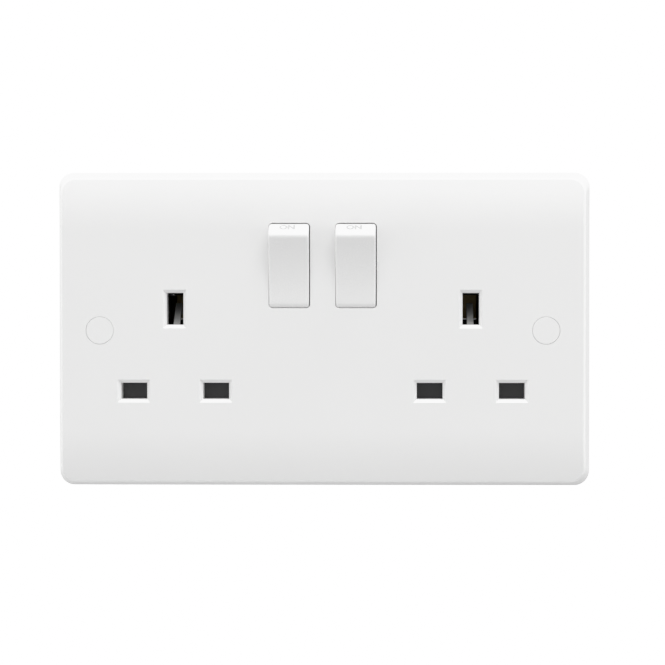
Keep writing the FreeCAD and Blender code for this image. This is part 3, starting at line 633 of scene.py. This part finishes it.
class Recipe(Nodes):
    """A Geometry Nodes tree with named sizes."""

    def __init__(self, name, **sizes):
        super().__init__(bpy.data.node_groups.new(name, "GeometryNodeTree"))
        self.socket("Geometry", "INPUT", "NodeSocketGeometry")
        for key, value in sizes.items():
            self.socket(key.replace("_", " "), "INPUT", "NodeSocketFloat").default_value = value
        self.socket("Geometry", "OUTPUT", "NodeSocketGeometry")
        self.given = self.tree.nodes.new("NodeGroupInput")

    def socket(self, name, side, kind):
        return self.tree.interface.new_socket(name, in_out=side, socket_type=kind)

    def size(self, key):
        return Value(self, self.given.outputs[key])

    def raised(self, geometry, height):
        """Geometry moved along its own axis."""
        offset = self.node("ShaderNodeCombineXYZ", {}, {"Z": height})
        return self.node("GeometryNodeTransform", {}, {
            "Geometry": geometry, "Translation": offset,
        })

    def wound(self, radius, height, turns, wire, steps, corners):
        """A wire that winds up the axis, in steps a turn, with a section of so many corners."""
        helix = self.node("GeometryNodeCurveSpiral", {}, {
            "Resolution": steps, "Rotations": turns, "Start Radius": radius,
            "End Radius": radius, "Height": height,
        })
        upright = self.node("GeometryNodeSetCurveNormal", {"mode": "Z_UP"}, {"Curve": helix})
        section = self.node("GeometryNodeCurvePrimitiveCircle", {}, {
            "Resolution": corners, "Radius": wire,
        })
        return self.node("GeometryNodeCurveToMesh", {}, {
            "Curve": upright, "Profile Curve": section, "Fill Caps": True,
        })

    def serve(self, one, material, **turning):
        """Ends the tree in plain geometry: one copy on each point, with its material."""
        copies = self.node("GeometryNodeInstanceOnPoints", {}, {
            "Points": self.size("Geometry"), "Instance": one, **turning,
        })
        real = self.node("GeometryNodeRealizeInstances", {}, {"Geometry": copies})
        painted = self.node("GeometryNodeSetMaterial", {}, {
            "Geometry": real, "Material": material,
        })
        self.feed(self.tree.nodes.new("NodeGroupOutput"), {0: painted})
        return self

    def made(self, points, **sizes):
        """The plain mesh that the tree makes on these points, with other sizes if given."""
        points_mesh = bpy.data.meshes.new("points")
        points_mesh.from_pydata(points, [], [])
        carrier = placed("carrier", points_mesh)
        modifier = carrier.modifiers.new("recipe", "NODES")
        modifier.node_group = self.tree
        keys = {item.name: item.identifier for item in self.tree.interface.items_tree
                if item.in_out == "INPUT"}
        for name, value in sizes.items():
            modifier[keys[name.replace("_", " ")]] = value
        return baked(carrier)


def bright_metal(name, tone, tarnish, gloss, grain=(60.0, 60.0, 60.0)):
    """Plated or drawn metal: clouds of tarnish and fine working marks."""
    finish = Finish(name, Metallic=1.0)
    cloud = finish.ramp(finish.noise(90.0, detail=3.0), (0.35, 0.0), (0.75, 1.0))
    marks = finish.noise(60.0, detail=3.0, stretch=grain)
    return finish.wear(
        Base_Color=finish.blend(cloud, tone, tarnish),
        Roughness=gloss + 0.16 * cloud + 0.1 * marks,
        Normal=finish.bump(marks, distance=0.0015 * mm),
    )


PIN_SPRING_TOP = Vector((0, -5.1, 0))
PIN_SPRING_LENGTH = 5.5 * mm


def spring_recipe(material):
    """A wound wire spring that stands on each point, sized for the plungers if not told."""
    recipe = Recipe(
        "wire_spring", Radius=1.7 * mm, Wire=0.2 * mm, Length=PIN_SPRING_LENGTH, Turns=5.0,
    )
    wire = recipe.size("Wire")
    coil = recipe.wound(
        radius=recipe.size("Radius") - wire, height=recipe.size("Length") - 2.0 * wire,
        turns=recipe.size("Turns"), wire=wire, steps=28, corners=8,
    )
    return recipe.serve(recipe.raised(coil, wire), material)


spring_wire = bright_metal("drawn_spring_wire", (0.56, 0.56, 0.57), (0.44, 0.43, 0.42), gloss=0.26)
springs = spring_recipe(spring_wire)
for side, name in SIDES:
    place = on_rocker(side)
    downward = Matrix.Rotation(-math.pi / 2, 4, "X")
    mesh = springs.made([(0, 0, 0)])
    mesh.transform(Matrix.Scale(1 / mm, 4))
    mesh.transform(place @ Matrix.Translation(PIN_SPRING_TOP) @ downward)
    coil = piece(
        f"pin_spring_{name}", smooth_by_angle(mesh, degrees=50), f"rocker_{name}_body", None,
        "spring_steel", f"plunger_spring_{name}",
    )
    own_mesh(coil)


# ---- Shutters
# Dark plastic slides behind the slots. Each closes its two lower slots, carries the ramp that
# the earth pin pushes down, and rests on a wire spring that lifts it again.

FLAT_ANGLE = math.radians(0.5)
BROKEN_ANGLE = math.radians(30)


def softened_piece(name, node, width, body, material, slot, segments=2):
    """A piece like its CAD node, but with flat faces whole and sharp edges finely rounded."""
    shape = shape_of(node_copy(node))
    bmesh.ops.dissolve_limit(
        shape, angle_limit=FLAT_ANGLE, verts=shape.verts, edges=shape.edges,
    )
    mesh = finished(
        mesh_of(shape), "BEVEL", width=width, segments=segments, limit_method="ANGLE",
        angle_limit=BROKEN_ANGLE, use_clamp_overlap=True, miter_outer="MITER_ARC",
    )
    piece(name, smooth_by_angle(mesh, degrees=60), body, material, slot, node)


def lit_ramp_plastic(name, tone, ramp_light_tone):
    """Satin moulding whose earth ramp is painted pale, most at its foot: painted light where light
    reaches into the slot.
    """
    finish = Finish(name)
    ramp = finish.fade("Z", start=8.5 * mm, end=1.5 * mm)
    above_foot = finish.fade("Z", start=0.5 * mm, end=1.0 * mm)
    streaks = finish.ramp(finish.noise(500.0), (0.3, 0.7), (0.7, 1.0))
    texture = finish.noise(1800.0, detail=3.0, roughness=0.6)
    # Painted light: the ramp's face is made paler in streaks, most at its foot, for the light that
    # falls into the earth slot.
    painted_light_mask = ramp * above_foot * streaks
    return finish.wear(
        Base_Color=finish.blend(painted_light_mask, tone, ramp_light_tone),
        Roughness=0.42 + 0.16 * texture - 0.08 * painted_light_mask,
        Normal=finish.bump(texture, distance=0.004 * mm),
    )


# The pale second tone is painted light on the earth ramp.
shutter_dark = lit_ramp_plastic("shutter_dark", (0.046, 0.046, 0.048), (0.55, 0.55, 0.54))
for name in ("left", "right"):
    softened_piece(
        f"slide_{name}", f"shutter_{name}", 0.12 * mm, f"shutter_{name}_body", shutter_dark,
        "dark_shutter",
    )
    low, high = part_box(f"shutter_spring_{name}")
    length = high.z - low.z
    foot = ((low.x + high.x) / 2, (low.y + high.y) / 2, low.z)
    mesh = springs.made([foot], Length=length, Turns=8.0)
    coil = piece(
        f"slide_spring_{name}", smooth_by_angle(mesh, degrees=50), "socket", None, "spring_steel",
        f"shutter_spring_{name}",
    )
    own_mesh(coil)


# ---- Contact cover
# A thin black moulding over the contacts, behind the shutters, with windows for the pins and
# for the rockers' stems.

cover_black = satin_plastic("cover_black", (0.014, 0.014, 0.015), gloss=0.5)
softened_piece("cover", "contact_cover", 0.15 * mm, "socket", cover_black, "grey_cover")


# ---- Brass parts
# Links, bars and the earth strap are stamped and folded from rolled brass sheet, with springy
# leaves that grip the pins, and box terminals at their ends. Toward the front the sheet is
# painted nearly black: painted shade for the dark inside the slots.

def rolled_brass(name):
    """Brass sheet: clouds of tarnish, fine rolling lines, and painted nearly black toward the
    front as painted shade.
    """
    finish = Finish(name, Metallic=1.0)
    # Painted shade: the front of the sheet goes nearly black, standing in for the shade inside the
    # slots.
    painted_front_shade = finish.fade("Y", start=16.5 * mm, end=14.0 * mm)
    cloud = finish.ramp(finish.noise(70.0, detail=4.0), (0.38, 0.0), (0.72, 1.0))
    lines = finish.noise(90.0, detail=3.0, stretch=(1.0, 40.0, 40.0))
    sheet = finish.blend(cloud, (0.80, 0.60, 0.29), (0.62, 0.43, 0.19))
    return finish.wear(
        Base_Color=finish.blend(painted_front_shade, sheet, (0.028, 0.024, 0.020)),
        Roughness=0.27 + 0.14 * cloud + 0.08 * lines + 0.15 * painted_front_shade,
        Normal=finish.bump(lines, distance=0.0012 * mm),
    )


brass = rolled_brass("rolled_brass")
for name in ("earth_strap", "neutral_bar", "live_feed", "live_link_left", "live_link_right"):
    softened_piece(f"{name}_stamping", name, 0.12 * mm, "socket", brass, "brass_sheet")


# ---- Contacts
# A brass lever rocks on each knife edge and carries a small silver contact, which closes on the
# one riveted to the live link.

lever_brass = bright_metal(
    "lever_brass", (0.78, 0.58, 0.28), (0.60, 0.42, 0.19), gloss=0.3, grain=(1.0, 30.0, 1.0),
)
silver = bright_metal("contact_silver", (0.86, 0.85, 0.82), (0.60, 0.57, 0.52), gloss=0.28)
for name in ("left", "right"):
    for made, node, width, body, material, slot in (
        ("lever", "contact_lever", 0.1 * mm, f"lever_{name}_body", lever_brass, "brass_sheet"),
        ("lever_contact", "moving_contact", 0.12 * mm, f"lever_{name}_body", silver,
         "silver_contact"),
        ("link_contact", "fixed_contact", 0.12 * mm, "socket", silver, "silver_contact"),
    ):
        softened_piece(f"{made}_{name}", f"{node}_{name}", width, body, material, slot)


# ---- Rear housing
# The heat-proof black moulding that holds every contact, with a fine spark texture from its
# mould and slightly rubbed edges. It is screwed to bosses on the back of the plate.

housing_black = satin_plastic(
    "housing_black", (0.022, 0.022, 0.023), gloss=0.46, grain_size=2600.0, grain_depth=0.012 * mm,
)
softened_piece(
    "housing", "rear_housing", 0.3 * mm, "socket", housing_black, "black_housing", segments=3,
)


# ---- Screws
# Slotted pan heads on rolled threads: two long plated ones into the wall box, four short ones
# that hold the housing, and four brass ones that clamp the wires.

def screw_recipe(name, material):
    """A slotted screw at each point, its tip along local -Z before it is turned."""
    recipe = Recipe(
        name, Head_Radius=3.0 * mm, Head_Height=2.0 * mm, Dome_Radius=8.0 * mm,
        Shank_Radius=1.5 * mm, Thread_Radius=1.75 * mm, Thread_Start=4.0 * mm,
        Length=25.0 * mm, Pitch=0.6 * mm, Slot_Width=0.9 * mm, Slot_Depth=1.0 * mm,
        Turn=math.pi / 2, Ridge=0.22 * mm,
    )
    size = recipe.size

    def cylinder(radius, top, foot, corners):
        """A round bar between two depths below the top of the head."""
        bar = recipe.node("GeometryNodeMeshCylinder", {}, {
            "Vertices": corners, "Radius": radius, "Depth": foot - top,
        })
        return recipe.raised(bar, -0.5 * (top + foot))

    def boolean(operation, inputs):
        settings = {"operation": operation, "solver": "EXACT"}
        return recipe.node("GeometryNodeMeshBoolean", settings, inputs)

    ball = recipe.node("GeometryNodeMeshUVSphere", {}, {
        "Segments": 96, "Rings": 96, "Radius": size("Dome Radius"),
    })
    domed = boolean("INTERSECT", {"Mesh 2": [
        cylinder(size("Head Radius"), 0.0, size("Head Height"), corners=48),
        recipe.raised(ball, -1.0 * size("Dome Radius")),
    ]})
    slot_size = recipe.node("ShaderNodeCombineXYZ", {}, {
        "X": 3.0 * size("Head Radius"), "Y": size("Slot Width"), "Z": 2.0 * size("Slot Depth"),
    })
    slot = recipe.node("GeometryNodeMeshCube", {}, {"Size": slot_size})
    head = boolean("DIFFERENCE", {"Mesh 1": domed, "Mesh 2": slot})
    core_radius = size("Thread Radius") - size("Ridge")
    threaded = size("Length") - size("Thread Start")
    shank = cylinder(size("Shank Radius"), size("Head Height"), size("Thread Start"), corners=32)
    core = cylinder(core_radius, size("Thread Start"), size("Length"), corners=32)
    thread = recipe.wound(
        radius=core_radius, height=threaded - 2.0 * size("Ridge"),
        turns=(threaded - size("Ridge")) / size("Pitch"), wire=size("Ridge"), steps=20, corners=4,
    )
    thread = recipe.raised(thread, size("Ridge") - size("Length"))
    whole = recipe.node("GeometryNodeJoinGeometry", {}, {"Geometry": [head, shank, core, thread]})
    tilt = recipe.node("ShaderNodeCombineXYZ", {}, {"X": size("Turn")})
    rotation = recipe.node("FunctionNodeEulerToRotation", {}, {0: tilt})
    return recipe.serve(whole, material, Rotation=rotation)


def metres(*places):
    return [tuple(c * mm for c in place) for place in places]


FIXING_HEAD_Y = -7.3
BACK_SCREW_Y = 3.4
TERMINAL_Y = 20.4
HEAD_FRONT = math.pi / 2
HEAD_BACK = -math.pi / 2

screw_nickel = bright_metal("screw_nickel", (0.72, 0.71, 0.69), (0.60, 0.58, 0.55), gloss=0.24)
wall_screws = screw_recipe("fixing_screw", screw_nickel).made(
    metres((-FIXING_X, FIXING_HEAD_Y, 0), (FIXING_X, FIXING_HEAD_Y, 0)),
    Head_Radius=3.3 * mm, Head_Height=2.1 * mm, Shank_Radius=1.55 * mm, Thread_Start=5.0 * mm,
    Length=27.1 * mm, Turn=HEAD_FRONT,
)
wall_screws = smooth_by_angle(wall_screws)
piece("wall_screws", wall_screws, "socket", None, "fixing_screw_zinc", "fixing_screws")

screw_zinc = bright_metal("screw_zinc", (0.66, 0.68, 0.71), (0.63, 0.60, 0.48), gloss=0.3)
back_screws = screw_recipe("housing_screw", screw_zinc).made(
    metres((-20, BACK_SCREW_Y, -30.65), (20, BACK_SCREW_Y, -30.65),
           (-33, BACK_SCREW_Y, 33.25), (33, BACK_SCREW_Y, 33.25)),
    Head_Radius=2.75 * mm, Head_Height=1.8 * mm, Shank_Radius=1.2 * mm, Thread_Radius=1.4 * mm,
    Thread_Start=2.2 * mm, Length=9.4 * mm, Pitch=0.9 * mm, Ridge=0.26 * mm, Turn=HEAD_BACK,
)
back_screws = smooth_by_angle(back_screws)
piece("back_screws", back_screws, "socket", None, "housing_screw_zinc", "housing_screws")

screw_brass = bright_metal("screw_brass", (0.78, 0.60, 0.30), (0.60, 0.43, 0.20), gloss=0.28)
clamp_screws = screw_recipe("terminal_screw", screw_brass).made(
    metres((-24.5, TERMINAL_Y, 24.25), (24.5, TERMINAL_Y, 24.25),
           (0, TERMINAL_Y, 24.25), (0, TERMINAL_Y, -21.9)),
    Head_Radius=3.0 * mm, Head_Height=1.9 * mm, Shank_Radius=1.8 * mm, Thread_Radius=2.0 * mm,
    Thread_Start=2.1 * mm, Length=6.3 * mm, Pitch=0.7 * mm, Ridge=0.24 * mm,
    Slot_Width=1.0 * mm, Slot_Depth=1.1 * mm, Turn=HEAD_BACK,
)
clamp_screws = smooth_by_angle(clamp_screws)
piece("clamp_screws", clamp_screws, "socket", None, "terminal_screw_brass", "terminal_screws")


# ---- Studio
# One soft box high in front, a little to the right, in a white room that lights the socket more
# from its sides, from above and slightly from the left. Behind the socket the room is plain
# white, and a pale floor lies far below.

SOFTBOX_PLACE = Vector((0.25, -0.50, 1.17))
softbox = bpy.data.lights.new("overhead_softbox", "AREA")
softbox.shape = "RECTANGLE"
softbox.size = 1.0
softbox.size_y = 0.8
softbox.energy = 9.6
holder = placed("overhead_softbox", softbox)
holder.location = SOFTBOX_PLACE
holder.rotation_mode = "QUATERNION"
holder.rotation_quaternion = (-SOFTBOX_PLACE).to_track_quat("-Z", "Y")

WHITE = (1, 1, 1, 1)
SKY_FRONT = 0.45
SKY_SIDES = 1.04
SKY_RISE = 0.37
SKY_LEFT = 0.08
BACKDROP = 1.5
world = bpy.data.worlds.new("studio")
bpy.context.scene.world = world
world.use_nodes = True
sky = Nodes(world.node_tree)
direction = sky.node("ShaderNodeTexCoord", {}, {}, "Generated")
across = sky.along(direction, "X")
upward = sky.along(direction, "Z")
strength = SKY_FRONT + SKY_SIDES * across * across - SKY_LEFT * across + SKY_RISE * upward
lighting = sky.node("ShaderNodeBackground", {}, {"Color": WHITE, "Strength": strength})
backdrop = sky.node("ShaderNodeBackground", {}, {"Color": WHITE, "Strength": BACKDROP})
seen = sky.node("ShaderNodeLightPath", {}, {}, "Is Camera Ray")
either = sky.node("ShaderNodeMixShader", {}, {0: seen, 1: lighting, 2: backdrop})
sky.feed(sky.tree.nodes["World Output"], {"Surface": either})

FLOOR_RADIUS = 0.8
FLOOR_DEPTH = 0.8
paper = Finish("studio_floor", Roughness=0.6)
paper.wear(Base_Color=paper.blend(paper.noise(3.0), (0.84, 0.84, 0.84), (0.86, 0.86, 0.86)))
disc = bmesh.new()
bmesh.ops.create_circle(disc, cap_ends=True, segments=64, radius=FLOOR_RADIUS)
bmesh.ops.translate(disc, verts=disc.verts, vec=(0, 0, -FLOOR_DEPTH))
floor = placed("floor", mesh_of(disc))
floor.data.materials.append(paper.material)


# ---- Camera
# A long lens in front of the socket, its picture shifted as in the photo. The film follows the
# light in even steps and eases off only in the brightest whites.

CAMERA_PLACE = Vector((0.0200, -0.4795, 0.0177))
CAMERA_YAW = 0.0102
CAMERA_PITCH = 0.0178
lens = bpy.data.cameras.new("camera")
lens.lens = 94.35
lens.sensor_width = 36.0
lens.shift_x = -0.070
lens.shift_y = -0.055
lens.clip_start = 0.01
camera = placed("camera", lens)
camera.location = CAMERA_PLACE
camera.rotation_euler = (math.pi / 2 - CAMERA_PITCH, 0, CAMERA_YAW)
bpy.context.scene.camera = camera

FILM_WHITE = 1.5
FILM_SHOULDER = ((0.45, 0.45), (0.90, 0.90), (1.0, 0.945), (1.2, 0.965))
view = bpy.context.scene.view_settings
view.view_transform = "Standard"
view.use_curve_mapping = True
view.curve_mapping.clip_max_x = FILM_WHITE
film = view.curve_mapping.curves[3]
film.points[-1].location = (FILM_WHITE, 1.0)
for light, tone in FILM_SHOULDER:
    film.points.new(light, tone)
for point in film.points:
    point.handle_type = "VECTOR"
view.curve_mapping.update()
